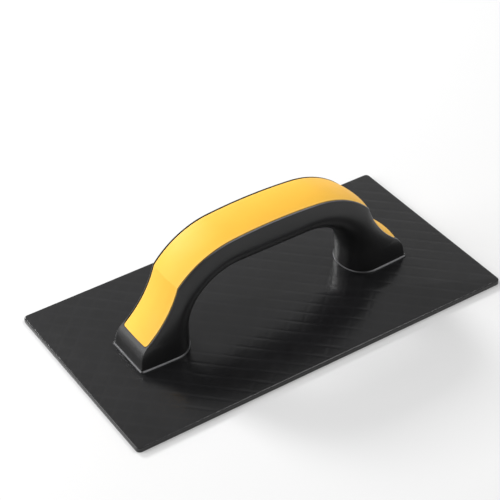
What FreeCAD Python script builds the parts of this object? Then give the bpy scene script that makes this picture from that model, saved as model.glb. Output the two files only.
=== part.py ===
import FreeCAD
import Part
import Sketcher

import math
import os

# Plastering float: a moulded plate with a waffle working face, a hollow bridge handle and a strip
# let into the top of the handle. The origin is the middle of the working face, X runs along the
# length and Z points up, away from the wall that is being rubbed. Lengths in mm, angles in degrees.
SIZES = (
    # plate
    ("plate_length", 280.0, "plate, along X"),
    ("plate_width", 148.0, "plate, along Y"),
    ("plate_thickness", 3.5, "plate, working face to top face"),
    ("plate_corner_radius", 3.0, "plate corners in plan"),
    ("plate_edge_bevel", 0.6, "bevel along the top edge of the plate"),
    # waffle
    ("raster_rim", 10.0, "flat rim left round the waffle"),
    ("raster_pitch", 10.0, "ridge to ridge, square to the ridges"),
    ("raster_depth", 2.0, "depth of the waffle pockets"),
    ("ridge_width", 1.2, "width of a ridge between two pockets"),
    ("least_pocket", 8.0, "area of the smallest pocket cut at the rim"),
    # screw bosses on the plate
    ("boss_diameter", 9.0, "boss on the plate"),
    ("boss_clearance", 0.2, "boss to the web above it"),
    ("boss_skin", 0.8, "plastic left under a pilot hole, above the plate's top face"),
    # screws
    ("screw_x", 80.5, "middle of the handle to the screw in a foot"),
    ("screw_diameter", 4.0, "thread of the screw"),
    ("screw_end_gap", 2.2, "end of the screw to the bottom of its pilot hole"),
    ("head_diameter", 8.0, "screw head"),
    ("head_height", 2.6, "screw head"),
    ("screw_hole_clearance", 0.7, "added to the thread where it passes the web"),
    # side view of the handle, from the plate's top face up
    ("grip_height", 74.3, "top line of the handle at the middle"),
    ("grip_top_radius", 340.0, "top line, middle of the grip"),
    ("grip_top_half", 32.0, "half length of the middle curve"),
    ("shoulder_radius", 62.0, "top line, from the middle curve down to the crease"),
    ("crease_x", 73.0, "crease where the top line turns down into the foot"),
    ("flare_radius", 74.0, "hollow curve of the top line above the foot"),
    ("cover_end_x", 97.8, "end of the strip"),
    ("cover_end_z", 15.3, "end of the strip"),
    ("toe_x", 103.6, "tip of the foot"),
    ("palm_height", 46.5, "underside of the grip at the middle"),
    ("palm_half", 26.7, "half length of the straight underside"),
    ("palm_radius", 36.5, "underside, from the straight to half way round"),
    ("leg_radius", 30.2, "underside, from half way round to upright"),
    # cross sections of the handle
    ("grip_half_width", 17.4, "widest half width of the grip"),
    ("foot_half_width", 18.4, "half width of the foot at the plate"),
    ("lip_half_width", 16.2, "half width at the top line"),
    ("grip_belly", 16.0, "depth of the round belly of the grip"),
    ("foot_belly", 15.4, "depth of the round inner end of the foot"),
    ("wall", 2.6, "wall of the moulding round the foot"),
    ("palm_wall", 7.2, "floor of the channel over the round belly"),
    ("web", 3.0, "floor of the channel in the foot, that the screws clamp"),
    ("foot_lip_width", 1.0, "lip round the foot, at the plate"),
    ("foot_lip_height", 1.0, "lip round the foot"),
    ("foot_lip_top", 0.4, "what is left of the lip's width at its top"),
    ("toe_radius", 4.0, "upright corners of the toe"),
    ("recess_radius", 1.0, "upright corners of the hollow in the foot"),
    ("rib_thickness", 2.0, "cross ribs in the channel"),
    ("rib_pitch", 18.0, "rib to rib"),
    ("rib_gap", 1.0, "rib to the tongues of the strip"),
    # strip
    ("cover_thickness", 2.6, "strip at its edges"),
    ("cover_gap", 0.3, "gap round the strip"),
    ("cover_rim", 0.9, "rim of the handle outside the gap"),
    ("cover_crown", 1.5, "rise of the strip across its width"),
    ("cover_corner_radius", 1.5, "corners at the ends of the strip"),
    ("ledge", 3.0, "ledge that carries the strip"),
    ("tongue_height", 3.0, "tongues under the strip, inside the channel"),
    ("tongue_thickness", 1.4, "tongues"),
    ("tongue_clearance", 0.15, "tongue to the channel's wall"),
)

V = FreeCAD.Vector
REACH = 30.0  # how far a cutting tool runs past what it cuts


def make_sheet(doc):
    """Write SIZES into a spreadsheet, one alias a row, and return the sheet."""
    sheet = doc.addObject("Spreadsheet::Sheet", "Sizes")
    for row, (alias, value, note) in enumerate(SIZES, start=1):
        sheet.set(f"A{row}", note)
        sheet.set(f"B{row}", str(value))
        sheet.setAlias(f"B{row}", alias)
    doc.recompute()
    return sheet


def bind(item, **expressions):
    """Bind properties of an object to the sheet, each to one expression."""
    for name, expression in expressions.items():
        item.setExpression(name, expression)


def new_body(doc, name):
    """A new PartDesign body whose label is its name."""
    body = doc.addObject("PartDesign::Body", name)
    body.Label = name
    return body


def sketch_on(body, role, name, offset=None):
    """A sketch on one of the body's own origin planes."""
    plane = next(item for item in body.Origin.OriginFeatures if item.Role == role)
    sketch = body.newObject("Sketcher::SketchObject", name)
    sketch.AttachmentSupport = [(plane, "")]
    sketch.MapMode = "FlatFace"
    if offset is not None:
        sketch.AttachmentOffset = offset
    return sketch


def feature(body, kind, name, profile, **values):
    """A sketch-based feature of a body, with plain property values."""
    item = body.newObject("PartDesign::" + kind, name)
    item.Profile = profile
    for key, value in values.items():
        setattr(item, key, value)
    return item


def edges_where(shape, test):
    """Names of the edges of a shape that pass a test."""
    return [f"Edge{i}" for i, edge in enumerate(shape.Edges, start=1) if test(edge)]


def fixed(sketch, curves):
    """Add curves that hold their place in a sketch."""
    for curve in curves:
        index = sketch.addGeometry(curve, False)
        sketch.addConstraint(Sketcher.Constraint("Block", index))


def segment(start, end):
    return Part.LineSegment(start, end)


def polyline(points):
    """Segments through points, left open."""
    return [segment(a, b) for a, b in zip(points, points[1:])]


def constrain(sketch, kind, *args, expression=None):
    """Add one constraint, bound to the sheet where an expression is given."""
    index = sketch.addConstraint(Sketcher.Constraint(kind, *args))
    if expression is not None:
        sketch.setExpression(f"Constraints[{index}]", expression)


def rounded_rectangle(sketch, size, length, width, radius):
    """A rounded rectangle about the sketch's origin; each size is the text of an expression."""
    x = size(length) / 2
    y = size(width) / 2
    r = size(radius)
    corners = ((x, -y, -1, 1), (x, y, -1, -1), (-x, y, 1, -1), (-x, -y, 1, 1))
    starts = (1.5, 0.0, 0.5, 1.0)
    arcs = []
    for (cx, cy, sx, sy), start in zip(corners, starts):
        circle = Part.Circle(V(cx + sx * r, cy + sy * r, 0), V(0, 0, 1), r)
        arc = Part.ArcOfCircle(circle, start * math.pi, (start + 0.5) * math.pi)
        arcs.append(sketch.addGeometry(arc, False))
    sides = []
    ends = ((x, -y + r, x, y - r), (x - r, y, -x + r, y), (-x, y - r, -x, -y + r), (-x + r, -y, x - r, -y))
    for x0, y0, x1, y1 in ends:
        sides.append(sketch.addGeometry(segment(V(x0, y0, 0), V(x1, y1, 0)), False))
    for i, side in enumerate(sides):
        constrain(sketch, "Tangent", arcs[i], 2, side, 1)
        constrain(sketch, "Tangent", side, 2, arcs[(i + 1) % 4], 1)
        constrain(sketch, "Vertical" if i % 2 == 0 else "Horizontal", side)
    for arc in arcs[1:]:
        constrain(sketch, "Equal", arcs[0], arc)
    constrain(sketch, "Radius", arcs[0], r, expression=radius)
    constrain(sketch, "Symmetric", arcs[0], 3, arcs[2], 3, -1, 1)
    constrain(sketch, "DistanceX", arcs[2], 3, arcs[0], 3, 2 * (x - r), expression=f"{length} - 2 * ({radius})")
    constrain(sketch, "DistanceY", arcs[0], 3, arcs[2], 3, 2 * (y - r), expression=f"{width} - 2 * ({radius})")


def mirror_x(point):
    return V(-point.x, point.y, point.z)


class TopLine:
    """Side view of the handle's top line, right half, moved outward by an offset.

    The curves lie in a sketch plane with x along the handle and y up from the plate.
    """

    def __init__(self, size, offset=0.0):
        self.offset = offset
        self.middle = V(0, size.grip_height - size.grip_top_radius, 0)
        self.middle_radius = size.grip_top_radius + offset
        turn = math.asin(size.grip_top_half / size.grip_top_radius)
        normal = V(math.sin(turn), math.cos(turn), 0)
        self.shoulder = self.middle + normal * (size.grip_top_radius - size.shoulder_radius)
        self.shoulder_radius = size.shoulder_radius + offset
        dx = size.crease_x - self.shoulder.x
        crease = V(size.crease_x, self.shoulder.y + math.sqrt(size.shoulder_radius**2 - dx**2), 0)
        end = V(size.cover_end_x, size.cover_end_z, 0)
        chord = end - crease
        across = V(-chord.y, chord.x, 0).normalize()
        reach = math.sqrt(size.flare_radius**2 - (chord.Length / 2) ** 2)
        self.flare = (crease + end) / 2 + across * reach
        self.flare_radius = size.flare_radius - offset
        self.end_normal = (self.flare - end).normalize()
        self.end_tangent = V(self.end_normal.y, -self.end_normal.x, 0)
        # points of the line: top, end of the middle curve, crease, end of the strip
        self.top = self.middle + V(0, self.middle_radius, 0)
        self.joint = self.middle + normal * self.middle_radius
        self.crease = self._crossing()
        self.end = end + self.end_normal * offset

    def _crossing(self):
        """Where the shoulder curve and the flare curve cross, on the outside of their centres."""
        gap = self.flare - self.shoulder
        along = (gap.Length**2 + self.shoulder_radius**2 - self.flare_radius**2) / (2 * gap.Length)
        height = math.sqrt(self.shoulder_radius**2 - along**2)
        unit = gap * (1 / gap.Length)
        up = V(-unit.y, unit.x, 0)
        points = [self.shoulder + unit * along + up * (height * sign) for sign in (1, -1)]
        return max(points, key=lambda point: point.y)

    def on_flare(self, x):
        """Point of the flare curve at a place along the handle."""
        return V(x, self.flare.y - math.sqrt(self.flare_radius**2 - (x - self.flare.x) ** 2), 0)

    def height(self, x):
        """Height of the line at a place before the crease."""
        centre, radius = self.middle, self.middle_radius
        if x > self.joint.x:
            centre, radius = self.shoulder, self.shoulder_radius
        return centre.y + math.sqrt(radius**2 - (x - centre.x) ** 2)

    @staticmethod
    def _arc(centre, radius, start, end):
        middle = ((start + end) / 2 - centre).normalize() * radius + centre
        return Part.Arc(start, middle, end)

    def curves(self, end=None):
        """The three curves from the top to the end, as (start, end, arc) of the right half."""
        end = self.end if end is None else end
        return [
            self._arc(self.middle, self.middle_radius, self.top, self.joint),
            self._arc(self.shoulder, self.shoulder_radius, self.joint, self.crease),
            self._arc(self.flare, self.flare_radius, self.crease, end),
        ]

    def both_halves(self, end=None):
        """The curves of the whole line, from the left end to the right end."""
        end = self.end if end is None else end
        left = [
            self._arc(V(-self.flare.x, self.flare.y, 0), self.flare_radius, mirror_x(end), mirror_x(self.crease)),
            self._arc(V(-self.shoulder.x, self.shoulder.y, 0), self.shoulder_radius,
                      mirror_x(self.crease), mirror_x(self.joint)),
        ]
        top = [self._arc(self.middle, self.middle_radius, mirror_x(self.joint), self.joint)]
        return left + top + self.curves(end)[1:]


class ToeLine:
    """Side view of the toe, tangent to the end of the top line and upright at the tip."""

    def __init__(self, size, top_line):
        self.start = top_line.end + top_line.end_tangent * size.cover_gap
        fall = top_line.end_tangent
        radius = (size.toe_x - self.start.x) / (1 + fall.y)
        centre = self.start - top_line.end_normal * radius
        self.end = centre + V(radius, 0, 0)
        middle = ((self.start + self.end) / 2 - centre).normalize() * radius + centre
        self.arc = Part.Arc(self.start, middle, self.end)


class Station:
    """One cross section of the handle: where it stands, how it leans and how wide it is."""

    def __init__(self, size, foot, lean, share):
        self.foot = foot          # point of the underside, x along and y up
        self.lean = lean          # degrees from upright, 90 where the section lies level
        self.half_width = size.grip_half_width + share * (size.foot_half_width - size.grip_half_width)
        self.belly = size.grip_belly + share * (size.foot_belly - size.grip_belly)
        self.out = V(math.sin(math.radians(lean)), math.cos(math.radians(lean)), 0)

    def placement(self, side):
        """Attachment offset of the section on the YZ plane, on the side +1 or -1."""
        turn = FreeCAD.Rotation(V(1, 0, 0), side * self.lean)
        return FreeCAD.Placement(V(0, self.foot.y, side * self.foot.x), turn)


class PalmLine:
    """Side view of the grip's underside, right half, moved into the moulding by an offset."""

    def __init__(self, size, offset=0.0):
        self.half = size.palm_half
        self.top = size.palm_height + offset
        self.palm_radius = size.palm_radius + offset
        self.leg_radius = size.leg_radius + offset
        self.palm = V(size.palm_half, size.palm_height - size.palm_radius, 0)
        shift = (size.palm_radius - size.leg_radius) * math.sin(math.radians(45))
        self.leg = self.palm + V(shift, shift, 0)
        self.foot = self.leg + V(self.leg_radius, 0, 0)

    def at(self, lean):
        """Point where the line has turned by an angle from level."""
        centre, radius = (self.palm, self.palm_radius) if lean <= 45 else (self.leg, self.leg_radius)
        return centre + V(math.sin(math.radians(lean)), math.cos(math.radians(lean)), 0) * radius

    def height(self, x):
        """Height of the line at a place along the handle."""
        if x <= self.half:
            return self.top
        centre, radius = (self.palm, self.palm_radius) if x <= self.at(45).x else (self.leg, self.leg_radius)
        return centre.y + math.sqrt(radius**2 - (x - centre.x) ** 2)

    def curves(self):
        """The line from its middle to where it stands upright, as two arcs after a straight."""
        return [
            segment(V(0, self.top, 0), self.at(0)),
            Part.Arc(self.at(0), self.at(22.5), self.at(45)),
            Part.Arc(self.at(45), self.at(67.5), self.foot),
        ]


def flipped(curves):
    """Curves of a side view turned over to the left half."""
    turn = FreeCAD.Matrix()
    turn.scale(V(-1, 1, 1))
    copies = []
    for curve in curves:
        copy = curve.copy()
        copy.transform(turn)
        copies.append(copy)
    return copies


def stations(size):
    """Cross sections from the end of the straight grip to the plate, right half."""
    line = PalmLine(size)
    steps = 10
    found = [Station(size, line.at(90 * i / steps), 90 * i / steps, i / steps) for i in range(steps + 1)]
    return found + [Station(size, V(line.foot.x, 0, 0), 90, 1)]


def reach_of(station, outline):
    """Length of a section, from the underside to the outline of the handle."""
    ray = Part.LineSegment(station.foot, station.foot + station.out * 100).toShape()
    distance, pairs, _ = ray.distToShape(outline)
    return max((pair[0] - station.foot).Length for pair in pairs)


def half_ellipse(half_width, depth):
    """Lower half of an ellipse that touches the local x axis from above, left end to right end."""
    centre = V(0, depth, 0)
    if half_width >= depth:
        ellipse = Part.Ellipse(V(half_width, depth, 0), V(0, 2 * depth, 0), centre)
        return Part.ArcOfEllipse(ellipse, math.pi, 2 * math.pi)
    ellipse = Part.Ellipse(V(0, 0, 0), V(half_width, depth, 0), centre)
    return Part.ArcOfEllipse(ellipse, -math.pi / 2, math.pi / 2)


class SizeReader:
    """Reads sizes from the sheet, by alias or by expression."""

    def __init__(self, sheet):
        self._sheet = sheet

    def __getattr__(self, alias):
        return float(getattr(self._sheet, alias))

    def __call__(self, expression):
        return float(self._sheet.evalExpression(expression.replace("Sizes.", "")))


FIELD_LENGTH = "(Sizes.plate_length - 2 * Sizes.raster_rim)"
FIELD_WIDTH = "(Sizes.plate_width - 2 * Sizes.raster_rim)"


def at_height(height):
    """Attachment offset that lifts a sketch off its plane."""
    return FreeCAD.Placement(V(0, 0, height), FreeCAD.Rotation())


def screw_circles(sketch, size, diameter):
    """One circle at each screw, on the sketch's x axis; the diameter is an expression."""
    for side in (-1, 1):
        circle = Part.Circle(V(side * size.screw_x, 0, 0), V(0, 0, 1), size(diameter) / 2)
        index = sketch.addGeometry(circle, False)
        constrain(sketch, "PointOnObject", index, 3, -1)
        ends = (index, 3, -1, 1) if side < 0 else (-1, 1, index, 3)
        constrain(sketch, "DistanceX", *ends, size.screw_x, expression="Sizes.screw_x")
        constrain(sketch, "Diameter", index, size(diameter), expression=diameter)


def make_plate(doc, size):
    """The slab with its bevelled top edge, the bosses inside the feet and the waffle underneath."""
    body = new_body(doc, "base_plate")
    outline = sketch_on(body, "XY_Plane", "plate_outline")
    rounded_rectangle(outline, size, "Sizes.plate_length", "Sizes.plate_width", "Sizes.plate_corner_radius")
    slab = feature(body, "Pad", "plate_slab", outline)
    bind(slab, Length="Sizes.plate_thickness")
    doc.recompute()

    top = size.plate_thickness
    edges = edges_where(slab.Shape, lambda edge: edge.BoundBox.ZMin > top - 0.01)
    bevel = body.newObject("PartDesign::Chamfer", "plate_top_bevel")
    bevel.Base = (slab, edges)
    bind(bevel, Size="Sizes.plate_edge_bevel")

    boss_plan = sketch_on(body, "XY_Plane", "boss_plan", at_height(top))
    bind(boss_plan, **{"AttachmentOffset.Base.z": "Sizes.plate_thickness"})
    screw_circles(boss_plan, size, "Sizes.boss_diameter")
    bosses = feature(body, "Pad", "bosses", boss_plan, Length=boss_height(size))
    doc.recompute()

    pilot_plan = sketch_on(body, "XY_Plane", "pilot_plan", at_height(top))
    bind(pilot_plan, **{"AttachmentOffset.Base.z": "Sizes.plate_thickness + Sizes.boss_skin"})
    screw_circles(pilot_plan, size, "Sizes.screw_diameter")
    pilots = feature(body, "Pocket", "pilot_holes", pilot_plan, Type="ThroughAll", Reversed=True)
    doc.recompute()
    assert pilots.Shape.Volume < bosses.Shape.Volume
    add_waffle(doc, body, size)
    return body


def screw_length(size):
    """Underside of the screw's head to its end, a gap above the bottom of the pilot hole."""
    return channel_floor(size) - size.boss_skin - size.screw_end_gap


def boss_height(size):
    """Plate's top face to the top of a boss, just under the web of the foot."""
    return channel_floor(size) - size.web - size.boss_clearance


def channel_floor(size):
    """Plate's top face to the floor of the channel in the foot, where the legs turn upright."""
    return PalmLine(size).foot.y


def clipped(corners, inside):
    """The part of a convex outline where a measure of its points is not below zero."""
    kept = []
    for here, ahead in zip(corners, corners[1:] + corners[:1]):
        near, far = inside(here), inside(ahead)
        if near >= 0:
            kept.append(here)
        if near * far < 0:
            kept.append(here + (ahead - here) * (near / (near - far)))
    return kept


def waffle_cell(size, row, column):
    """Outline of one pocket between two pairs of ridges, cut off by the rim of the field."""
    half = size.ridge_width / 2
    near = [size.raster_pitch * index + half for index in (row, column)]
    far = [size.raster_pitch * (index + 1) - half for index in (row, column)]
    across = ((near[0], near[1]), (far[0], near[1]), (far[0], far[1]), (near[0], far[1]))
    corners = [V((a - b) / math.sqrt(2), (a + b) / math.sqrt(2), 0) for a, b in across]
    x = size(FIELD_LENGTH) / 2
    y = size(FIELD_WIDTH) / 2
    limits = (lambda p: x - p.x, lambda p: x + p.x, lambda p: y - p.y, lambda p: y + p.y)
    for limit in limits:
        corners = clipped(corners, limit)
    return corners


def outline_area(corners):
    """Area inside a closed outline."""
    pairs = zip(corners, corners[1:] + corners[:1])
    return abs(sum(a.x * b.y - b.x * a.y for a, b in pairs)) / 2


def waffle_cells(size):
    """Outlines of the pockets; a smaller sliver at the rim stays solid."""
    reach = (size(FIELD_LENGTH) + size(FIELD_WIDTH)) / (2 * math.sqrt(2))
    rows = range(-math.ceil(reach / size.raster_pitch), math.ceil(reach / size.raster_pitch))
    cells = [waffle_cell(size, row, column) for row in rows for column in rows]
    return [cell for cell in cells if len(cell) > 2 and outline_area(cell) > size.least_pocket]


def add_waffle(doc, body, size):
    """Sink the pockets of the waffle into the working face."""
    plan = sketch_on(body, "XY_Plane", "waffle_plan")
    plan.addGeometry([side for cell in waffle_cells(size) for side in polyline(cell + cell[:1])], False)
    before = body.Shape.Volume
    pockets = feature(body, "Pocket", "waffle_pockets", plan, Reversed=True, Refine=False)
    bind(pockets, Length="Sizes.raster_depth")
    doc.recompute()
    assert pockets.Shape.Volume < before


def handle_outline(size):
    """Side view of the handle above the plate, left tip to right tip."""
    line = TopLine(size)
    toe = ToeLine(size, line)
    right = [segment(line.end, toe.start), toe.arc, segment(toe.end, V(size.toe_x, 0, 0))]
    left = [
        segment(V(-size.toe_x, 0, 0), mirror_x(toe.end)),
        Part.Arc(mirror_x(toe.end), mirror_x(arc_middle(toe.arc)), mirror_x(toe.start)),
        segment(mirror_x(toe.start), mirror_x(line.end)),
    ]
    return left + line.both_halves() + right


def arc_middle(arc):
    return arc.value((arc.FirstParameter + arc.LastParameter) / 2)


def section_wire(station, size, outline):
    """One cross section: a round belly, two leaning sides and an open top past the outline."""
    reach = reach_of(station, outline)
    lip = size.lip_half_width
    tip = TopLine(size).end.y
    height = station.foot.y
    if station.lean == 90 and height < tip:
        lip += (size.foot_half_width - lip) * (1 - height / tip)
    slope = (lip - station.half_width) / (reach - station.belly)
    over = REACH / 6
    sides = [V(station.half_width, station.belly, 0), V(lip + slope * over, reach + over, 0)]
    across = [mirror_x(point) for point in reversed(sides)]
    return [half_ellipse(station.half_width, station.belly)] + polyline(sides + across)


def loft_body(doc, name, size):
    """A body with the ruled loft through the cross sections, from foot to foot."""
    body = new_body(doc, name)
    outline = Part.Wire([curve.toShape() for curve in handle_outline(size)])
    right = stations(size)
    places = [(-1, item) for item in reversed(right)] + [(1, item) for item in right]
    sections = []
    for side, station in places:
        sketch = sketch_on(body, "YZ_Plane", "cross_section", station.placement(side))
        fixed(sketch, section_wire(station, size, outline))
        sections.append(sketch)
    feature(body, "AdditiveLoft", "handle_loft", sections[0], Sections=sections[1:], Ruled=True)
    doc.recompute()
    return body


def corner_arc(corner, radius):
    """Arc that rounds an upright corner on the right, from the toe to the side of the foot."""
    side = math.copysign(1, corner.y)
    centre = corner - V(radius, side * radius, 0)
    middle = centre + V(radius, side * radius, 0) * math.sqrt(0.5)
    return Part.Arc(centre + V(radius, 0, 0), middle, centre + V(0, side * radius, 0))


def toe_spandrel(size, side):
    """Plan of what the rounding takes away at one upright corner of the right toe."""
    corner = V(size.toe_x, side * size.foot_half_width, 0)
    arc = corner_arc(corner, size.toe_radius)
    past = corner + V(1, side, 0)
    on_tip = corner - V(0, side * size.toe_radius, 0)
    on_side = corner - V(size.toe_radius, 0, 0)
    return [arc] + polyline([on_side, V(on_side.x, past.y, 0), past, V(past.x, on_tip.y, 0), on_tip])


def foot_plan(size, grow, tip, radius):
    """Plan of a foot on the right: a round inner end, straight sides and a toe with round corners."""
    foot = stations(size)[-1]
    half_width = foot.half_width + grow
    depth = foot.belly + grow
    x = foot.foot.x + foot.belly
    major = half_width >= depth
    first = V(x, half_width, 0) if major else V(x + depth, 0, 0)
    second = V(x + depth, 0, 0) if major else V(x, half_width, 0)
    ellipse = Part.Ellipse(first, second, V(x, 0, 0))
    start = 0.0 if major else math.pi / 2
    arc = Part.ArcOfEllipse(ellipse, start, start + math.pi)
    if arc.value(start + math.pi / 2).x > x:
        arc = Part.ArcOfEllipse(ellipse, start + math.pi, start + 2 * math.pi)
    curves = [arc, segment(V(tip, radius - half_width, 0), V(tip, half_width - radius, 0))]
    for y in (half_width, -half_width):
        curves.append(corner_arc(V(tip, y, 0), radius))
        curves.append(segment(V(tip - radius, y, 0), V(x, y, 0)))
    return curves


def mirrored(curves):
    """Curves turned to the other side of the handle."""
    turn = FreeCAD.Matrix()
    turn.rotateZ(math.pi)
    copies = []
    for curve in curves:
        copy = curve.copy()
        copy.transform(turn)
        copies.append(copy)
    return copies


def channel_end(size):
    """X of the channel's end, short of the ledge that carries the end of the strip."""
    return TopLine(size, -size.cover_thickness).end.x - size.ledge


def seat_curves(size):
    """Side view of what the seat of the strip takes away, down to the strip's underside."""
    line = TopLine(size, -size.cover_thickness)
    end = line.end + line.end_tangent * size.cover_gap
    out = end + line.end_normal * 2 * size.cover_end_x
    top = V(0, 4 * size.grip_height, 0)
    corners = [end, out, top, mirror_x(out), mirror_x(end)]
    ends = [segment(mirror_x(end), mirror_x(line.end)), segment(line.end, end)]
    return line.both_halves() + ends + polyline(corners)


def make_handle(doc, size):
    """The bridge handle: its outside, the feet, the channel and the seat of the strip."""
    body = loft_body(doc, "handle_body", size)

    trim = sketch_on(body, "XZ_Plane", "side_view")
    far, low, high = 2 * size.toe_x, -1.0, 2 * size.grip_height
    frame = [V(size.toe_x, 0, 0), V(size.toe_x, low, 0), V(far, low, 0), V(far, high, 0)]
    frame = frame + [mirror_x(point) for point in reversed(frame)]
    fixed(trim, handle_outline(size) + polyline(frame))
    feature(body, "Pocket", "trim_to_side_view", trim, Type="ThroughAll", SideType="Symmetric")

    corners = sketch_on(body, "XY_Plane", "toe_corner_plan")
    for side in (1, -1):
        spandrel = toe_spandrel(size, side)
        fixed(corners, spandrel + mirrored(spandrel))
    feature(body, "Pocket", "toe_corners", corners, Type="ThroughAll", Reversed=True)
    doc.recompute()

    add_foot_lips(doc, body, size)
    hollow_feet(doc, body, size)
    cut_channel(doc, body, size)
    bind(body, **{"Placement.Base.z": "Sizes.plate_thickness"})
    doc.recompute()
    return body


def add_foot_lips(doc, body, size):
    """The thin lip that runs round each foot, with its top bevelled."""
    plan = sketch_on(body, "XY_Plane", "foot_lip_plan")
    grow = size.foot_lip_width
    lip = foot_plan(size, grow, size.toe_x + grow, size.toe_radius + grow)
    border_curves = lip + mirrored(lip)
    fixed(plan, border_curves)
    lips = feature(body, "Pad", "foot_lips", plan)
    bind(lips, Length="Sizes.foot_lip_height")
    doc.recompute()
    border = Part.makeCompound([curve.toShape() for curve in border_curves])
    border.translate(V(0, 0, size.foot_lip_height))
    bevels = body.newObject("PartDesign::Chamfer", "foot_lip_bevels")
    bevels.Base = (lips, edges_where(lips.Shape, lambda edge: lies_on(edge, border)))
    bind(bevels, Size="Sizes.foot_lip_width - Sizes.foot_lip_top")
    doc.recompute()


def hollow_feet(doc, body, size):
    """The hollow under the web of each foot, and the holes for the screws through the web."""
    depth = channel_floor(size) - size.web
    plan = sketch_on(body, "XY_Plane", "foot_hollow_plan")
    outline = Part.Wire([curve.toShape() for curve in handle_outline(size)])
    level = Station(size, V(size.palm_half, depth, 0), 90, 1)
    end = level.foot.x + reach_of(level, outline) - size.wall
    hollow = foot_plan(size, size.lip_half_width - size.wall - size.foot_half_width, end, size.recess_radius)
    fixed(plan, hollow + mirrored(hollow))
    feature(body, "Pocket", "foot_hollows", plan, Reversed=True, Length=depth)
    doc.recompute()

    hole_plan = sketch_on(body, "XY_Plane", "screw_hole_plan", at_height(depth))
    screw_circles(hole_plan, size, "Sizes.screw_diameter + Sizes.screw_hole_clearance")
    holes = feature(body, "Pocket", "screw_holes", hole_plan, Reversed=True)
    bind(holes, Length="2 * Sizes.web")
    doc.recompute()


CHANNEL_HALF = "(Sizes.lip_half_width - Sizes.cover_rim - Sizes.ledge)"


def cut_channel(doc, body, size):
    """The open channel along the top, its cross ribs and the seat that carries the strip."""
    floor = PalmLine(size, size.palm_wall)
    end, high = channel_end(size), 2 * size.grip_height
    side_view = sketch_on(body, "XZ_Plane", "channel_side_view")
    right = [segment(floor.foot, V(end, floor.foot.y, 0)), segment(V(end, floor.foot.y, 0), V(end, high, 0))]
    right = floor.curves()[1:] + right
    across = [segment(mirror_x(floor.at(0)), floor.at(0)), segment(V(end, high, 0), V(-end, high, 0))]
    fixed(side_view, right + flipped(right) + across)
    channel = feature(body, "Pocket", "channel", side_view, SideType="Symmetric")
    bind(channel, Length=f"2 * {CHANNEL_HALF}")
    doc.recompute()

    rib_view = sketch_on(body, "XZ_Plane", "cross_rib_side_view")
    tops = TopLine(size, -(size.cover_thickness + size.tongue_height + size.rib_gap))
    root = PalmLine(size, 0.8 * size.palm_wall)
    count = math.floor((size.crease_x - size.rib_pitch / 2) / size.rib_pitch)
    half = size.rib_thickness / 2
    for place in range(-count, count + 1):
        x = place * size.rib_pitch
        low, top = root.height(abs(x)), tops.height(abs(x))
        box = [V(x - half, low, 0), V(x + half, low, 0), V(x + half, top, 0), V(x - half, top, 0)]
        fixed(rib_view, polyline(box + box[:1]))
    ribs = feature(body, "Pad", "cross_ribs", rib_view, SideType="Symmetric")
    bind(ribs, Length=f"2 * {CHANNEL_HALF}")
    doc.recompute()

    seat_plan = sketch_on(body, "XZ_Plane", "seat_side_view")
    fixed(seat_plan, seat_curves(size))
    seat = feature(body, "Pocket", "strip_seat", seat_plan, SideType="Symmetric")
    bind(seat, Length="2 * (Sizes.lip_half_width - Sizes.cover_rim)")
    doc.recompute()


def lies_on(edge, border):
    """True where both ends and the middle of an edge lie on a border."""
    first, last = edge.ParameterRange
    points = [edge.valueAt(first + (last - first) * part) for part in (0.0, 0.5, 1.0)]
    return all(Part.Vertex(point).distToShape(border)[0] < 0.001 for point in points)


def cover_half_width(size):
    """Half width of the strip, a gap inside its seat."""
    return size.lip_half_width - size.cover_rim - size.cover_gap


def make_cover(doc, size):
    """The strip, swept along the top line from toe to toe, with the tongues that locate it."""
    body = new_body(doc, "grip_cover")
    line = TopLine(size)
    under = TopLine(size, -size.cover_thickness)
    half = cover_half_width(size)
    top = size.grip_height
    low = top - size.cover_thickness
    steps = []

    path = sketch_on(body, "XZ_Plane", "strip_path")
    fixed(path, line.curves())
    section = sketch_on(body, "YZ_Plane", "strip_section")
    crown = Part.Arc(V(-half, top, 0), V(0, top + size.cover_crown, 0), V(half, top, 0))
    right = [V(half, top, 0), V(half, low, 0)]
    fixed(section, [crown] + polyline(right + [mirror_x(point) for point in reversed(right)]))
    steps.append(sweep(body, "strip", section, path))

    tongue_path = sketch_on(body, "XZ_Plane", "tongue_path")
    fixed(tongue_path, line.curves(line.on_flare(channel_end(size))))
    outer = size.lip_half_width - size.cover_rim - size.ledge - size.tongue_clearance
    block = sketch_on(body, "YZ_Plane", "tongue_section")
    deep = low - size.tongue_height
    high = top - size.cover_thickness / 2
    corners = [V(-outer, high, 0), V(outer, high, 0), V(outer, deep, 0), V(-outer, deep, 0)]
    fixed(block, polyline(corners + corners[:1]))
    steps.append(sweep(body, "tongue_block", block, tongue_path))
    doc.recompute()

    hollow = sketch_on(body, "XZ_Plane", "between_tongues")
    past = V(0, -REACH, 0)
    corners = [under.end, under.end + past, V(-1, 0, 0), V(-1, under.top.y, 0), under.top]
    fixed(hollow, under.curves() + polyline(corners))
    steps.append(feature(body, "Pocket", "tongues", hollow, SideType="Symmetric"))
    inner = "Sizes.lip_half_width - Sizes.cover_rim - Sizes.ledge - Sizes.tongue_clearance"
    bind(steps[-1], Length=f"2 * ({inner} - Sizes.tongue_thickness)")
    doc.recompute()

    corners = edges_where(steps[-1].Shape, lambda edge: strip_corner(edge, under.end.x, half))
    rounded = body.newObject("PartDesign::Fillet", "strip_corners")
    rounded.Base = (steps[-1], corners)
    bind(rounded, Radius="Sizes.cover_corner_radius")
    doc.recompute()

    whole = body.newObject("PartDesign::Mirrored", "both_ends")
    whole.Originals = [steps[0], steps[1], steps[2], rounded]
    whole.TransformMode = "Whole shape"
    whole.MirrorPlane = (path, ["V_Axis"])
    body.Tip = whole
    bind(body, **{"Placement.Base.z": "Sizes.plate_thickness"})
    doc.recompute()
    return body


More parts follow.
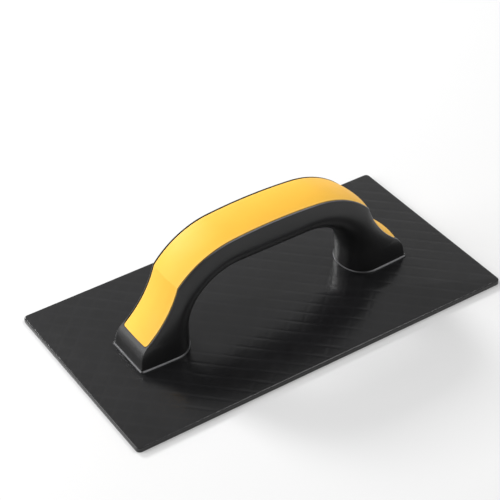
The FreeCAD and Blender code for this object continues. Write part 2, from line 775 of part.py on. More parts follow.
def sweep(body, name, section, path):
    """A pipe along a path of three curves that keeps the corner between the last two."""
    pipe = feature(body, "AdditivePipe", name, section, Spine=(path, ["Edge1", "Edge2", "Edge3"]))
    pipe.Transition = "Right corner"
    return pipe


def strip_corner(edge, end, half):
    """True for the two short edges at the end of the strip, at its full width."""
    ends = [vertex.Point for vertex in edge.Vertexes]
    if len(ends) != 2 or min(point.x for point in ends) < end - 0.01:
        return False
    return all(abs(abs(point.y) - half) < 0.01 for point in ends) and ends[0].y * ends[1].y > 0


def make_screw(doc, size):
    """One screw, upright, its head's underside at height zero."""
    body = new_body(doc, "screw")
    shank, head = size.screw_diameter / 2, size.head_diameter / 2
    tip, rise = -screw_length(size), size.head_height

    profile = sketch_on(body, "XZ_Plane", "screw_profile")
    points = [V(0, rise, 0), V(0, tip, 0), V(shank, tip, 0), V(shank, 0, 0), V(head, 0, 0), V(head, rise, 0)]
    fixed(profile, polyline(points + points[:1]))
    feature(body, "Revolution", "turned", profile, ReferenceAxis=(profile, ["V_Axis"]))
    doc.recompute()
    return body


def make_screws(doc, size):
    """The two screws: one screw, linked to its place on the web of each foot."""
    screw = make_screw(doc, size)
    links = []
    for side in (-1, 1):
        link = doc.addObject("App::Link", "placed_screw")
        link.LinkedObject = screw
        link.Placement.Base.z = channel_floor(size)
        bind(link, **{"Placement.Base.x": f"{side} * Sizes.screw_x"})
        links.append(link)
    screws = doc.addObject("Part::Compound", "handle_screws")
    screws.Label = "handle_screws"
    screws.Links = links
    bind(screws, **{"Placement.Base.z": "Sizes.plate_thickness"})
    doc.recompute()
    return screws


def check(doc, parts):
    """Stop on a failed feature or a bad shape."""
    for item in doc.Objects:
        if "Invalid" in item.State or "Error" in item.State:
            raise RuntimeError(f"{item.Label}: {item.State}")
    for part in parts:
        if part.Shape.isNull() or not part.Shape.isValid():
            raise RuntimeError(f"{part.Label}: bad shape")


def main():
    """Build the float and write each piece to its own STEP file."""
    doc = FreeCAD.newDocument("plastering_float")
    size = SizeReader(make_sheet(doc))
    parts = [make_plate(doc, size), make_handle(doc, size), make_cover(doc, size), make_screws(doc, size)]
    doc.recompute()
    check(doc, parts)
    os.makedirs("parts", exist_ok=True)
    for part in parts:
        part.Shape.exportStep(f"parts/{part.Label}.step")
        print(f"{part.Label}: {len(part.Shape.Solids)} solids, {part.Shape.Volume / 1000:.2f} cm3")


main()
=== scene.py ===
"""Plastering float: waffle plate, bridge handle, yellow grip strip and the screws between them.

Sizes are in millimetres and become metres when a mesh is made. X runs along the float, Y across it
and Z up from the working face.
"""
import logging
import math
from dataclasses import dataclass, field
from enum import Enum
from typing import Callable, Sequence

import bmesh
import bpy
from mathutils import Matrix, Vector
from mathutils.geometry import delaunay_2d_cdt, intersect_sphere_sphere_2d


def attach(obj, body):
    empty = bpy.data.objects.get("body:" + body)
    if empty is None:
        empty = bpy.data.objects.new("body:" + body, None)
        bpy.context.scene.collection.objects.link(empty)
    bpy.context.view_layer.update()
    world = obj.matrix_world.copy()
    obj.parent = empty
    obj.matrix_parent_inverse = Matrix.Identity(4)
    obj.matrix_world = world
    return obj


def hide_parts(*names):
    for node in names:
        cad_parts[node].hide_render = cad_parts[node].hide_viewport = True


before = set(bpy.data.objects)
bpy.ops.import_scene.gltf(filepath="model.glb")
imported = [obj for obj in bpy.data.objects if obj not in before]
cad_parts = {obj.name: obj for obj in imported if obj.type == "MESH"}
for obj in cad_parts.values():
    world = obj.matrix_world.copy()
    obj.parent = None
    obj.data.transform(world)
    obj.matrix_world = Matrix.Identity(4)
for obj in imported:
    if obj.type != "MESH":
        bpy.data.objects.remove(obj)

MM = 0.001
# In metres: points closer than the first are welded, edges shorter than the second are dropped.
WELD, SLIVER = 2e-6, 1e-6
WHITE = (1.0, 1.0, 1.0, 1.0)
log = logging.getLogger("plastering_float")

Point = tuple[float, float, float]
Flat = tuple[float, float]
Place = tuple[Vector, Vector]
Socket = bpy.types.NodeSocket


class Slot(Enum):
    """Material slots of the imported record."""

    PLATE = "plate_black"
    HANDLE = "handle_black"
    STRIP = "strip_yellow"
    SCREW = "screw_zinc"


# ---- mesh drafting


class Draft:
    """Collects points in millimetres and faces, and makes one mesh piece of them."""

    def __init__(self) -> None:
        """Start empty."""
        self.points: list[Point] = []
        self.painted_highlight: dict[int, float] = {}
        self.faces: list[tuple[int, ...]] = []

    def row(self, points: Sequence[Point]) -> list[int]:
        """Add a row of points and return their indices."""
        self.points.extend(points)
        return list(range(len(self.points) - len(points), len(self.points)))

    def skin(self, rows: Sequence[Sequence[Point]], closed: bool = False) -> list[list[int]]:
        """Join a series of rows of points with four-sided faces.

        Args:
            rows: Rows of equal length.
            closed: True where each row is a loop.

        Returns:
            The indices of the rows.
        """
        kept = [self.row(points) for points in rows]
        for first, second in zip(kept, kept[1:]):
            for i in range(0 if closed else 1, len(first)):
                self.faces.append((first[i - 1], first[i], second[i], second[i - 1]))
        return kept

    def cap(self, loop: Sequence[int]) -> None:
        """Close a loop with one face."""
        self.faces.append(tuple(loop))

    def tube(self, rows: Sequence[Sequence[Point]]) -> list[list[int]]:
        """Join loops of points and close both ends.

        Args:
            rows: The loops.

        Returns:
            The indices of the loops.
        """
        kept = self.skin(rows, closed=True)
        self.cap(kept[0])
        self.cap(kept[-1])
        return kept

    def paint_highlight(self, indices: Sequence[int], shares: Sequence[float]) -> None:
        """Say how much painted highlight the edge at each point gets, from 0 to 1: a paler colour that stands
        in for light caught on the edge.
        """
        self.painted_highlight.update(zip(indices, shares))

    def fill(self, outer: Sequence[Flat], holes: Sequence[Sequence[Flat]], height: float) -> None:
        """Fill a level outline round its holes with triangles.

        Args:
            outer: The outline.
            holes: Outlines that stay open, inside it.
            height: Height of the outline.
        """
        coords: list[Vector] = []
        loops: list[list[int]] = []
        for loop in [outer, *holes]:
            start = len(coords)
            coords.extend(Vector(point) for point in loop)
            loops.append(list(range(start, len(coords))))
        verts, _, faces, _, _, origins = delaunay_2d_cdt(coords, [], loops, 1, 1e-5)
        kept = self.row([(vert.x, vert.y, height) for vert in verts])
        for face, origin in zip(faces, origins):
            if list(origin) == [0]:
                self.faces.append(tuple(kept[i] for i in face))

    def make(self, name: str, sharp: float = 40.0) -> bpy.types.Object:
        """Make the piece.

        Args:
            name: Name of the piece.
            sharp: Edges that turn more than this many degrees stay sharp.

        Returns:
            The new object, in the scene.
        """
        mesh = bpy.data.meshes.new(name)
        mesh.from_pydata([(x * MM, y * MM, z * MM) for x, y, z in self.points], [], self.faces)
        # Share of painted highlight at each point: a paler colour that stands in for light caught on edges
        # and lips.
        painted_highlight = mesh.attributes.new("painted_highlight", "FLOAT", "POINT")
        painted_highlight.data.foreach_set("value", [self.painted_highlight.get(i, 0.0) for i in range(len(self.points))])
        piece = bpy.data.objects.new(name, mesh)
        bpy.context.scene.collection.objects.link(piece)
        tidy_mesh(mesh)
        mesh.shade_smooth()
        mesh.set_sharp_from_angle(angle=math.radians(sharp))
        return piece


def tidy_mesh(mesh: bpy.types.Mesh) -> None:
    """Weld the points that rows share and turn all faces outwards.

    Args:
        mesh: The mesh.
    """
    work = bmesh.new()
    work.from_mesh(mesh)
    bmesh.ops.remove_doubles(work, verts=work.verts, dist=WELD)
    bmesh.ops.dissolve_degenerate(work, dist=SLIVER, edges=work.edges)
    bmesh.ops.recalc_face_normals(work, faces=work.faces)
    work.to_mesh(mesh)
    work.free()


def mix(a: float, b: float, share: float) -> float:
    """Value part of the way from one number to another."""
    return a + (b - a) * share


def ease(share: float) -> float:
    """Share from 0 to 1 with a soft start and end."""
    share = min(1.0, max(0.0, share))
    return share * share * (3 - 2 * share)


def arc(centre: Flat, radii: Flat, start: float, turn: float, steps: int) -> list[Flat]:
    """Points of an arc with a radius along each axis, its angles in degrees from the first axis."""
    angles = [math.radians(start + turn * i / steps) for i in range(steps + 1)]
    return [(centre[0] + radii[0] * math.cos(a), centre[1] + radii[1] * math.sin(a)) for a in angles]


def ring(x: float, radii: Sequence[float], height: float) -> list[Point]:
    """Level ring of points round an upright axis on the float's middle line, a radius for each."""
    return [(x + r * math.cos(a), r * math.sin(a), height) for r, a in zip(radii, turn_angles(len(radii)))]


def turn_angles(count: int) -> list[float]:
    """Angles of a full turn."""
    return [2 * math.pi * i / count for i in range(count)]


def fillet(corner: Vector, back: Vector, ahead: Vector, radius: float, steps: int) -> list[Vector]:
    """Points of the arc that rounds a corner.

    Args:
        corner: The sharp corner.
        back: Unit direction from the corner to the side that the arc starts on.
        ahead: Unit direction from the corner to the side that it ends on.
        radius: Radius of the arc.
        steps: Number of chords.

    Returns:
        The points from the first side to the second.
    """
    half = back.angle(ahead) / 2
    reach = radius / math.tan(half)
    start, end = corner + back * reach, corner + ahead * reach
    weight = math.sin(half)
    points = []
    for i in range(steps + 1):
        t = i / steps
        a, b, c = (1 - t) ** 2, 2 * t * (1 - t) * weight, t * t
        points.append((start * a + corner * b + end * c) / (a + b + c))
    return points


# ---- material wiring

# Noises over a surface: waves in a metre, octaves and the share that each octave keeps.
TINT_NOISE = (38.0, 3.0, 0.55)
SHEEN_NOISE = (95.0, 4.0, 0.6)
RIPPLE_NOISE = (55.0, 1.0)
HIGHLIGHT_NOISE = (180.0,)
SINK_NOISE = (26.0,)
ZINC_NOISE = (900.0, 3.0)
FLOOR_NOISE = (3.0, 1.0)
GRAIN_OCTAVES = (2.0, 0.6)
# Lowest and highest share of the painted edge highlight and of the sink marks, and the noise values that give
# them.
HIGHLIGHT_RANGE = (0.7, 1.0)
SINK_RANGE = (0.35, 1.0, 0.35, 0.65)


class Wiring:
    """A node tree of one material, with short calls to add and join its nodes."""

    def __init__(self, name: str) -> None:
        """Make the material with a Principled shader.

        Args:
            name: Name of the material.
        """
        self.material = bpy.data.materials.new(name)
        self.material.use_nodes = True
        self.tree = self.material.node_tree
        self.tree.nodes.clear()
        output = self.add("OutputMaterial")
        self.shader = self.add("BsdfPrincipled")
        self.put(output.inputs["Surface"], self.shader.outputs[0])

    def put(self, socket: Socket, value: object) -> None:
        """Set an input to a value or join an output to it.

        Args:
            socket: The input.
            value: The value or output.
        """
        if isinstance(value, Socket):
            self.tree.links.new(value, socket)
        else:
            socket.default_value = value

    def set(self, node: bpy.types.Node, **inputs: object) -> None:
        """Set or join inputs of a node, with _ for the blanks in their names."""
        for key, value in inputs.items():
            self.put(node.inputs[key.replace("_", " ")], value)

    def add(self, kind: str, **inputs: object) -> bpy.types.Node:
        """Add a node.

        Args:
            kind: Its type, after "ShaderNode".
            inputs: Values or outputs for its inputs, by name.

        Returns:
            The node.
        """
        node = self.tree.nodes.new("ShaderNode" + kind)
        self.set(node, **inputs)
        return node

    def place(self) -> Socket:
        """Place on the piece, in metres."""
        return self.add("TexCoord").outputs["Object"]

    def math(self, operation: str, *values: object) -> Socket:
        """Add a math node.

        Args:
            operation: What it does.
            values: Numbers or outputs, in the order of its inputs.

        Returns:
            Its output.
        """
        node = self.add("Math")
        node.operation = operation
        for socket, value in zip(node.inputs, values):
            self.put(socket, value)
        return node.outputs[0]

    def blend(self, share: object, first: object, second: object) -> Socket:
        """Blend two colours.

        Args:
            share: Share of the second, a number or an output.
            first: Colour or output.
            second: Colour or output.

        Returns:
            The blended colour.
        """
        node = self.add("Mix")
        node.data_type = "RGBA"
        for index, value in ((0, share), (6, first), (7, second)):
            self.put(node.inputs[index], value)
        return node.outputs[2]

    def noise(self, scale: float, detail: float = 2.0, roughness: float = 0.5) -> Socket:
        """Noise over the piece, from 0 to 1, by its waves in a metre, octaves and what each keeps."""
        place = self.place()
        return self.add("TexNoise", Scale=scale, Detail=detail, Roughness=roughness, Vector=place).outputs[0]

    def spread(self, value: Socket, low: float, high: float, start: float = 0.3, end: float = 0.7) -> Socket:
        """Map a value between start and end to a result between low and high."""
        node = self.add("MapRange", Value=value, From_Min=start, From_Max=end, To_Min=low, To_Max=high)
        return node.outputs["Result"]

    def bump(self, height: Socket, distance: float, under: Socket | None = None) -> Socket:
        """Add a bump.

        Args:
            height: Height, as a share of the distance.
            distance: Height of a share of 1, in millimetres.
            under: Normal of a bump below this one.

        Returns:
            The normal.
        """
        node = self.add("Bump", Height=height, Distance=distance * MM, Strength=1.0)
        if under is not None:
            self.set(node, Normal=under)
        return node.outputs["Normal"]


@dataclass(frozen=True)
class MouldedPlastic:
    """A moulded plastic: its colour, sheen and grain.

    Attributes:
        name: Name of the material.
        colour: Colour, linear.
        shade: How much darker or paler the colour gets, as a share.
        roughness: Lowest and highest roughness over the surface.
        grain: Depth of the mould's grain in millimetres.
        grain_size: Size of a grain in millimetres.
        ripple: Depth of the long slow ripple in millimetres.
        edge: Paler colour painted on edges and lips as a painted highlight, linear.
        gloss: Specular level.
    """

    name: str
    colour: Point
    shade: float
    roughness: Flat
    grain: float
    grain_size: float
    ripple: float
    edge: Point
    gloss: float = 0.5

    def highlight_share(self, w: Wiring, painted_highlight: Socket) -> Socket:
        """Share of the way from the plain colour to the painted highlight colour, more in some places than in
        others.
        """
        return w.math("MULTIPLY", painted_highlight, w.spread(w.noise(*HIGHLIGHT_NOISE), *HIGHLIGHT_RANGE))

    def finish_normal(self, w: Wiring, normal: Socket) -> Socket:
        """The normal that the shader gets."""
        return normal

    def material(self) -> bpy.types.Material:
        """Make the material."""
        w = Wiring(self.name)
        pale = [min(1.0, part * (1 + self.shade)) for part in self.colour]
        deep = [part * (1 - self.shade) for part in self.colour]
        plain = w.blend(w.spread(w.noise(*TINT_NOISE), 0.0, 1.0), (*deep, 1.0), (*pale, 1.0))
        # Painted highlight: the share stored on the mesh's points blends in the paler edge colour where edges
        # would catch light.
        painted_highlight = w.add("Attribute")
        painted_highlight.attribute_name = "painted_highlight"
        highlight_amount = self.highlight_share(w, painted_highlight.outputs["Fac"])
        slow = w.bump(w.noise(*RIPPLE_NOISE), self.ripple)
        fine = w.bump(w.noise(1 / (self.grain_size * MM), *GRAIN_OCTAVES), self.grain, slow)
        w.set(w.shader, Base_Color=w.blend(highlight_amount, plain, (*self.edge, 1.0)), Specular_IOR_Level=self.gloss,
              Roughness=w.spread(w.noise(*SHEEN_NOISE), *self.roughness), Normal=self.finish_normal(w, fine))
        return w.material


@dataclass(frozen=True)
class PlatePlastic(MouldedPlastic):
    """Plate plastic, with the waffle's ridges sunk faintly through to the flat side.

    Attributes:
        pitch: Ridge to ridge in millimetres, square to the ridges.
        sink: Depth of the sink marks in millimetres.
        mark: Width of a sink mark as a share of the pitch.
        pale: How far a sink mark is painted towards the paler edge colour, a painted sheen along the marks.
        cross: Strength of the marks across the flow of the plastic, next to those along it.
        soft: Softness where two marks cross.
    """

    pitch: float = 10.0
    sink: float = 0.085
    mark: float = 0.2
    pale: float = 0.1
    cross: float = 0.5
    soft: float = 0.15

    def marks(self, w: Wiring) -> Socket:
        """Pattern that is 1 over a ridge and 0 between the ridges.

        Args:
            w: Wiring of the material.

        Returns:
            The pattern's value.
        """
        x, y = w.add("SeparateXYZ", Vector=w.place()).outputs[:2]
        scale = 1 / (math.sqrt(2) * self.pitch * MM)
        found = []
        for along in (w.math("ADD", x, y), w.math("SUBTRACT", x, y)):
            turns = w.math("MULTIPLY", along, scale)
            off = w.math("ABSOLUTE", w.math("SUBTRACT", turns, w.math("ROUND", turns)))
            found.append(w.spread(off, 1.0, 0.0, 0.0, self.mark))
        return w.math("SMOOTH_MAX", found[0], w.math("MULTIPLY", found[1], self.cross), self.soft)

    def highlight_share(self, w: Wiring, painted_highlight: Socket) -> Socket:
        """Painted edge highlights, with the sink marks painted a shade paler than the rest as a painted
        sheen.
        """
        return w.math("MAXIMUM", super().highlight_share(w, painted_highlight), w.math("MULTIPLY", self.marks(w), self.pale))

    def finish_normal(self, w: Wiring, normal: Socket) -> Socket:
        """Sink the ridges' marks, deeper in some places than in others."""
        depth = w.math("MULTIPLY", self.marks(w), w.spread(w.noise(*SINK_NOISE), *SINK_RANGE))
        return w.bump(w.math("SUBTRACT", 1.0, depth), self.sink, normal)


@dataclass(frozen=True)
class ZincPlate:
    """Bright zinc plating on small steel screws.

    Attributes:
        name: Name of the material.
        colour: Colour, linear.
        deep: Colour of the darkest places as a share of the colour.
        roughness: Lowest and highest roughness.
        grain: Depth of the crystals in millimetres.
    """

    name: str = "zinc plate"
    colour: Point = (0.62, 0.62, 0.60)
    deep: float = 0.85
    roughness: Flat = (0.24, 0.38)
    grain: float = 0.01

    def material(self) -> bpy.types.Material:
        """Make the material."""
        w = Wiring(self.name)
        cloud = w.noise(*ZINC_NOISE)
        deep = [part * self.deep for part in self.colour]
        tint = w.blend(w.spread(cloud, 0.0, 1.0), (*deep, 1.0), (*self.colour, 1.0))
        w.set(w.shader, Metallic=1.0, Base_Color=tint, Roughness=w.spread(cloud, *self.roughness),
              Normal=w.bump(cloud, self.grain))
        return w.material


def dress(piece: bpy.types.Object, material: bpy.types.Material, slot: Slot, *nodes: str) -> None:
    """Give a piece its material, hang it on the root and hide the CAD nodes that it replaces.

    Args:
        piece: The piece.
        material: Its material.
        slot: Material slot of the record; not used.
        nodes: CAD nodes that the piece replaces.
    """
    piece.data.materials.append(material)
    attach(piece, "root")
    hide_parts(*nodes)
    log.info("%s: %d faces", piece.name, len(piece.data.polygons))


# ---- plate

# Soft mouth of a pocket: inset and depth as shares of the soft edge, and radius of the corners.
MOUTH = ((0.0, 0.0, 0.7), (0.3, 0.1, 0.7), (0.7, 0.45, 0.75), (1.0, 1.0, 0.8))
# Soft foot of a pocket: inset past the wall and height over its floor, as shares of the soft edge.
FOOT = ((1.0, 1.0), (1.4, 0.35), (2.2, 0.0))


@dataclass
class Plate:
    """The moulded plate: flat top, drafted waffle underneath and a boss inside each foot."""

    length: float = 280.0
    width: float = 148.0
    thickness: float = 3.5
    corner: float = 3.0
    top_round: float = 0.8
    low_round: float = 0.3
    rim: float = 10.0
    pitch: float = 10.0
    depth: float = 2.0
    ridge: float = 0.75
    draft: float = 0.8
    soft: float = 0.25
    foot_radius: float = 1.0
    least_pocket: float = 8.0
    boss_x: float = 80.5
    boss_radius: float = 4.5
    boss_hole: float = 2.0
    boss_height: float = 11.25
    boss_facets: int = 32

    def outline(self, inset: float) -> list[Flat]:
        """Plan of the plate.

        Args:
            inset: Distance inwards.

        Returns:
            The outline.
        """
        x, y = self.length / 2 - inset, self.width / 2 - inset
        r = max(0.2, self.corner - inset)
        points: list[Flat] = []
        for i, (across, up) in enumerate(((1, 1), (-1, 1), (-1, -1), (1, -1))):
            points += arc((across * (x - r), up * (y - r)), (r, r), 90 * i, 90, 6)
        return points

    def cell(self, row: int, column: int) -> list[Vector]:
        """Outline of one pocket at the working face, cut off by the rim of the waffle.

        Args:
            row: Its row, counted from the middle.
            column: Its place in the row.

        Returns:
            Its corners, none where the rim covers it.
        """
        half = self.ridge / 2
        a0, b0 = (self.pitch * index + half for index in (row, column))
        a1, b1 = (self.pitch * (index + 1) - half for index in (row, column))
        corners = [Vector(((a - b) / math.sqrt(2), (a + b) / math.sqrt(2)))
                   for a, b in ((a0, b0), (a1, b0), (a1, b1), (a0, b1))]
        x, y = self.length / 2 - self.rim, self.width / 2 - self.rim
        for inside in (lambda p: x - p.x, lambda p: x + p.x, lambda p: y - p.y, lambda p: y + p.y):
            corners = clip(corners, inside)
        return corners

    def pockets(self) -> list[list[Vector]]:
        """Outlines of all the pockets."""
        reach = (self.length + self.width - 4 * self.rim) / (2 * math.sqrt(2))
        rows = range(-math.ceil(reach / self.pitch), math.ceil(reach / self.pitch))
        cells = [self.cell(row, column) for row in rows for column in rows]
        return [cell for cell in cells if len(cell) > 2 and area(cell) > self.least_pocket]

    def sink_pocket(self, draft: Draft, cell: list[Vector]) -> list[Flat]:
        """Add one pocket with drafted walls and soft edges.

        Args:
            draft: The draft of the plate.
            cell: Outline at the working face, before its corners are rounded.

        Returns:
            The mouth of the pocket.
        """
        lean = min(self.draft, 0.6 * area(cell) / perimeter(cell))
        s = self.soft
        rings = [(s * inset, s * z, radius) for inset, z, radius in MOUTH]
        rings += [(s * inset + lean, self.depth - s * z, self.foot_radius) for inset, z in FOOT]
        loops = [[(p.x, p.y, z) for p in rounded(shrunk(cell, inset), radius)] for inset, z, radius in rings]
        draft.cap(draft.skin(loops, closed=True)[-1])
        return [(x, y) for x, y, _ in loops[0]]

    def build(self) -> bpy.types.Object:
        """Build the plate's mesh."""
        draft = Draft()
        low, top = self.low_round, self.top_round
        rings = arc((low, low), (low, low), 270, -90, 3)
        rings += arc((top, self.thickness - top), (top, top), 180, -90, 6)
        loops = [[(x, y, z) for x, y in self.outline(inset)] for inset, z in rings]
        draft.cap(draft.skin(loops, closed=True)[-1])
        draft.fill(self.outline(low), [self.sink_pocket(draft, cell) for cell in self.pockets()], 0.0)
        for side in (-1, 1):
            self.add_boss(draft, side * self.boss_x)
        return draft.make("plate", sharp=50.0)

    def add_boss(self, draft: Draft, x: float) -> None:
        """Add a boss with its pilot hole.

        Args:
            draft: The draft of the plate.
            x: Place of its axis.
        """
        big, hole = self.boss_radius, self.boss_hole
        low, high = self.thickness - 0.2, self.thickness + self.boss_height
        profile = ((big + 0.5, low), (big + 0.15, low + 0.5), (big, low + 1.2), (big, high - 0.3),
                   (big - 0.3, high), (hole + 0.4, high), (hole, high - 0.4), (hole, self.thickness + 0.8))
        draft.tube([ring(x, [r] * self.boss_facets, z) for r, z in profile])

    def dress(self, piece: bpy.types.Object) -> None:
        """Give the plate its plastic.

        Args:
            piece: The piece that build made.
        """
        # The edge colour is painted only on the sink marks, as a painted sheen; the plate gets no painted
        # edge highlight.
        plastic = PlatePlastic("plate plastic", colour=(0.0065, 0.0065, 0.007), shade=0.18,
                               roughness=(0.20, 0.24), grain=0.004, grain_size=0.9, ripple=0.05,
                               edge=(0.03, 0.03, 0.032), gloss=0.56, pitch=self.pitch)
        dress(piece, plastic.material(), Slot.PLATE, "base_plate")


def pairs(corners: Sequence[Vector]) -> list[Place]:
    """Each corner of an outline with the one after it."""
    return list(zip(corners, [*corners[1:], *corners[:1]]))


def clip(corners: list[Vector], inside: Callable[[Vector], float]) -> list[Vector]:
    """Cut a convex outline off.

    Args:
        corners: The outline.
        inside: Measure of a point, below zero where it is cut off.

    Returns:
        The outline that is left.
    """
    kept: list[Vector] = []
    for here, ahead in pairs(corners):
        near, far = inside(here), inside(ahead)
        if near >= 0:
            kept.append(here)
        if near * far < 0:
            kept.append(here + (ahead - here) * (near / (near - far)))
    return kept


def area(corners: Sequence[Vector]) -> float:
    """Area inside an outline."""
    return abs(sum(a.x * b.y - b.x * a.y for a, b in pairs(corners))) / 2


def perimeter(corners: Sequence[Vector]) -> float:
    """Length round an outline."""
    return sum((b - a).length for a, b in pairs(corners))


def shrunk(corners: Sequence[Vector], inset: float) -> list[Vector]:
    """Move the sides of a convex outline inwards.

    Args:
        corners: The outline, anticlockwise.
        inset: Distance inwards.

    Returns:
        The smaller outline.
    """
    lines: list[Place] = []
    for a, b in pairs(corners):
        along = (b - a).normalized()
        lines.append((a + Vector((-along.y, along.x)) * inset, along))
    found = []
    for i, (q, v) in enumerate(lines):
        p, u = lines[i - 1]
        t = ((q.x - p.x) * v.y - (q.y - p.y) * v.x) / (u.x * v.y - u.y * v.x)
        found.append(p + u * t)
    return found


def rounded(corners: Sequence[Vector], radius: float) -> list[Vector]:
    """Round the corners of an outline by three points each, an arc taking less than half of a side.

    Args:
        corners: The outline.
        radius: Radius of the corners, less where the sides are too short for it.

    Returns:
        The rounded outline.
    """
    found: list[Vector] = []
    for i, here in enumerate(corners):
        back, ahead = corners[i - 1] - here, corners[(i + 1) % len(corners)] - here
        room = 0.42 * min(back.length, ahead.length) * math.tan(back.angle(ahead) / 2)
        found += fillet(here, back.normalized(), ahead.normalized(), min(radius, room), 2)
    return found


# ---- side view of the handle


@dataclass(frozen=True)
class Spot:
    """A place on the side view of the handle's top line.

    Attributes:
        at: The point, x along the handle and y up from the plate's top.
        out: Unit direction out of the handle, square to the line.
        run: Distance along the line from its top, below zero on the left half.
    """

    at: Vector
    out: Vector
    run: float

    @property
    def side(self) -> int:
        """1 on the right half and -1 on the left."""
        return -1 if self.run < 0 else 1

    def mirrored(self) -> "Spot":
        """The same place on the other half."""
        return Spot(Vector((-self.at.x, self.at.y)), Vector((-self.out.x, self.out.y)), -self.run)

    def folded(self) -> "Spot":
        """The same place on the right half."""
        return self if self.side > 0 else self.mirrored()

    def half_way(self, other: "Spot") -> "Spot":
        """The place half way to another one."""
        return Spot(self.at.lerp(other.at, 0.5), self.out, mix(self.run, other.run, 0.5))


@dataclass
class SideView:
    """Side view of the handle: its top line, its toe and the underside of the grip.

    Heights are over the plate's top, which is at the base. The chords are those of the top, the shoulder,
    the crease and the flare, and of the toe's round and its face.
    """

    base: float = 3.5
    grip_height: float = 74.3
    top_radius: float = 340.0
    top_half: float = 32.0
    shoulder_radius: float = 62.0
    crease_x: float = 73.0
    crease_round: float = 2.0
    flare_radius: float = 74.0
    strip_end: Flat = (97.8, 15.3)
    strip_gap: float = 0.3
    toe_x: float = 103.6
    toe_lean: float = 8.0
    palm_height: float = 46.5
    palm_half: float = 26.7
    palm_radius: float = 36.5
    leg_radius: float = 30.2
    chords: tuple[int, int, int, int] = (9, 24, 6, 18)
    toe_chords: tuple[int, int] = (12, 5)

    def __post_init__(self) -> None:
        """Work out the centres of the curves and the two lines."""
        self.top_turn = math.asin(self.top_half / self.top_radius)
        self.top_centre = Vector((0, self.grip_height - self.top_radius))
        reach = self.top_radius - self.shoulder_radius
        self.shoulder_centre = self.top_centre + heading(self.top_turn) * reach
        dx = self.crease_x - self.shoulder_centre.x
        crease = Vector((self.crease_x, self.shoulder_centre.y + math.sqrt(self.shoulder_radius**2 - dx**2)))
        end = Vector(self.strip_end)
        chord = end - crease
        across = Vector((-chord.y, chord.x)).normalized()
        rise = math.sqrt(self.flare_radius**2 - (chord.length / 2) ** 2)
        self.flare_centre = (crease + end) / 2 + across * rise
        self.palm_centre = Vector((self.palm_half, self.palm_height - self.palm_radius))
        shift = (self.palm_radius - self.leg_radius) * math.sqrt(0.5)
        self.leg_centre = self.palm_centre + Vector((shift, shift))
        self.line = self.trace_line()
        self.end = self.line[-1]
        self.along = Vector((self.end.out.y, -self.end.out.x))
        self.toe = self.trace_toe()

    def trace_line(self) -> list[Spot]:
        """Places along the top line, from its top to the end of the strip."""
        r = self.crease_round
        inner = crossing(self.shoulder_centre, self.shoulder_radius - r,
                         self.flare_centre, self.flare_radius + r)
        stop = angle_of(inner - self.shoulder_centre)
        start = angle_of(self.flare_centre - inner)
        end = angle_of((self.flare_centre - Vector(self.strip_end)).normalized())
        top, shoulder, crease, flare = self.chords
        places = swept(self.top_centre, self.top_radius, (0.0, self.top_turn), top)[:-1]
        places += swept(self.shoulder_centre, self.shoulder_radius, (self.top_turn, stop), shoulder)
        places += swept(inner, r, (stop, start), crease)[1:]
        places += swept(self.flare_centre, -self.flare_radius, (start, end), flare)[1:]
        return measured(places, 0.0)

    def trace_toe(self) -> list[Spot]:
        """Places from the end of the strip's gap over the toe and down to the plate."""
        out = self.end.out
        start = self.end.at + self.along * self.strip_gap
        face = heading(math.radians(90 - self.toe_lean))
        lean = math.tan(math.radians(self.toe_lean))
        turned = face - out
        radius = (self.toe_x - start.x - start.y * lean) / (turned.x + turned.y * lean)
        over, down = self.toe_chords
        turns = (angle_of(out), angle_of(face))
        places = [(start, out)] + swept(start - out * radius, radius, turns, over)[1:]
        low, foot = places[-1][0], Vector((self.toe_x, 0.0))
        places += [(low.lerp(foot, i / down), face) for i in range(1, down + 1)]
        return measured(places, self.end.run + self.strip_gap)

    def taper(self, right: Spot) -> float:
        """Share of the way from the wide middle of the strip to its narrow end."""
        return ease((right.at.x - self.top_half) / (self.strip_end[0] - self.top_half))

    def foot(self, spot: Spot) -> tuple[Vector, Vector, float]:
        """Underside that belongs to a place of the top line.

        Args:
            spot: The place.

        Returns:
            The point of the underside, the direction from it to the place and the share of the way
            from the grip to the foot.
        """
        at = spot.at
        if at.x <= self.palm_half:
            return Vector((at.x, self.palm_height)), Vector((0, 1)), 0.0
        turn = angle_of(at - self.palm_centre)
        if turn <= math.pi / 4:
            return self.palm_centre + heading(turn) * self.palm_radius, heading(turn), turn / (math.pi / 2)
        turn = angle_of(at - self.leg_centre)
        if turn <= math.pi / 2:
            return self.leg_centre + heading(turn) * self.leg_radius, heading(turn), turn / (math.pi / 2)
        return Vector((self.leg_centre.x + self.leg_radius, at.y)), Vector((1, 0)), 1.0

    def point(self, spot: Spot, across: float, out: float = 0.0) -> Point:
        """Point at a distance across the float and out of the line."""
        at = spot.at + spot.out * out
        return at.x, across, at.y + self.base


def heading(angle: float) -> Vector:
    """Unit direction at an angle from upright, towards +x."""
    return Vector((math.sin(angle), math.cos(angle)))


def angle_of(direction: Vector) -> float:
    """Angle of a direction from upright."""
    return math.atan2(direction.x, direction.y)


def crossing(first: Vector, first_radius: float, second: Vector, second_radius: float) -> Vector:
    """The higher of the two points where two circles cross."""
    return max(intersect_sphere_sphere_2d(first, first_radius, second, second_radius), key=lambda p: p.y)


def swept(centre: Vector, radius: float, turns: Flat, steps: int) -> list[Place]:
    """Points of an arc with the direction out of the handle, its radius below zero where it is hollow."""
    outs = [heading(mix(*turns, i / steps)) for i in range(steps + 1)]
    return [(centre + out * radius, out) for out in outs]


